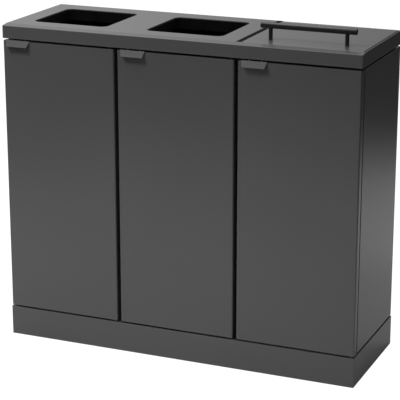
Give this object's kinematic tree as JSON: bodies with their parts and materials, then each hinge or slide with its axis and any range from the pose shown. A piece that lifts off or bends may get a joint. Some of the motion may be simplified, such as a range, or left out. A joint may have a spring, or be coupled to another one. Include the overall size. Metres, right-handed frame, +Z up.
{
  "type": "recycling bin station",
  "caption": "Low sheet-steel recycling cabinet with side-by-side hinged doors, open chutes in the top, a hinged lid with a bar handle, and loose inner bins.",
  "frame": {"origin": "on the floor under the centre of the whole outline, pull tabs included", "axes": "+Z up; front (doors and pull tabs) faces -Y; +X to the right seen from the front, towards the lidded compartment"},
  "size_m": [1.14, 0.3956, 1.0515],
  "materials": {
    "powder_coat": "fine-grained satin powder coat, anthracite",
    "zinc_steel": "zinc-plated",
    "black_plastic": "moulded, matt",
    "nylon": "moulded nylon",
    "seal_rubber": "matt"
  },
  "bodies": {
    "root": {"back_panel": "powder_coat", "back_screws": "zinc_steel", "band_back": "powder_coat", "band_front": "powder_coat", "band_left": "powder_coat", "band_right": "powder_coat", "bin_runners": "nylon", "chute_collar_left": "black_plastic", "chute_collar_right": "black_plastic", "deck_plate": "powder_coat", "floor_panel": "powder_coat", "front_rail": "powder_coat", "leveling_feet": "zinc_steel", "lid_frame": "powder_coat", "lid_hinge_fixed_leaf": "zinc_steel", "lid_hinge_pin": "zinc_steel", "lid_seal": "seal_rubber", "magnet_catches": "nylon", "partition_left": "powder_coat", "partition_right": "powder_coat", "pivot_bushes": "nylon", "plinth_back": "powder_coat", "plinth_brackets": "zinc_steel", "plinth_front": "powder_coat", "plinth_left": "powder_coat", "plinth_right": "powder_coat", "side_panel_left": "powder_coat", "side_panel_right": "powder_coat"},
    "door_1": {"door_1_catch_plate": "zinc_steel", "door_1_liner": "powder_coat", "door_1_pivot_pins": "zinc_steel", "door_1_pull_tab": "powder_coat", "door_1_rivets": "zinc_steel", "door_1_skin": "powder_coat"},
    "door_2": {"door_2_catch_plate": "zinc_steel", "door_2_liner": "powder_coat", "door_2_pivot_pins": "zinc_steel", "door_2_pull_tab": "powder_coat", "door_2_rivets": "zinc_steel", "door_2_skin": "powder_coat"},
    "door_3": {"door_3_catch_plate": "zinc_steel", "door_3_liner": "powder_coat", "door_3_pivot_pins": "zinc_steel", "door_3_pull_tab": "powder_coat", "door_3_rivets": "zinc_steel", "door_3_skin": "powder_coat"},
    "bin_1": {"bin_1_bag_ring": "black_plastic", "bin_1_tub": "black_plastic"},
    "bin_2": {"bin_2_bag_ring": "black_plastic", "bin_2_tub": "black_plastic"},
    "bin_3": {"bin_3_bag_ring": "black_plastic", "bin_3_tub": "black_plastic"},
    "lid": {"handle_bar": "powder_coat", "handle_posts": "powder_coat", "handle_screws": "zinc_steel", "lid_hinge_moving_leaf": "zinc_steel", "lid_panel": "powder_coat", "lid_stiffener": "powder_coat"}
  },
  "joints": [
    {"name": "door_1_hinge", "type": "hinge", "parent": "root", "child": "door_1", "pos_m": [-0.208, -0.17425, 0.5245], "axis": [0, 0, 1], "range_deg": [0, 105]},
    {"name": "door_2_hinge", "type": "hinge", "parent": "root", "child": "door_2", "pos_m": [0.175, -0.17425, 0.5245], "axis": [0, 0, 1], "range_deg": [0, 105]},
    {"name": "door_3_hinge", "type": "hinge", "parent": "root", "child": "door_3", "pos_m": [0.558, -0.17425, 0.5245], "axis": [0, 0, 1], "range_deg": [0, 105]},
    {"name": "bin_1_slide", "type": "slide", "parent": "root", "child": "bin_1", "axis": [0, -1, 0], "range_m": [0, 0.166]},
    {"name": "bin_2_slide", "type": "slide", "parent": "root", "child": "bin_2", "axis": [0, -1, 0], "range_m": [0, 0.166]},
    {"name": "bin_3_slide", "type": "slide", "parent": "root", "child": "bin_3", "axis": [0, -1, 0], "range_m": [0, 0.166]},
    {"name": "lid_hinge", "type": "hinge", "parent": "root", "child": "lid", "pos_m": [0.37925, 0.19325, 0.9955], "axis": [-1, 0, 0], "range_deg": [0, 85]}
  ],
  "couplings": [
    {"joint": "bin_1_slide", "follows": "door_1_hinge", "m_per_rad": 0.09},
    {"joint": "bin_2_slide", "follows": "door_2_hinge", "m_per_rad": 0.09},
    {"joint": "bin_3_slide", "follows": "door_3_hinge", "m_per_rad": 0.09}
  ]
}
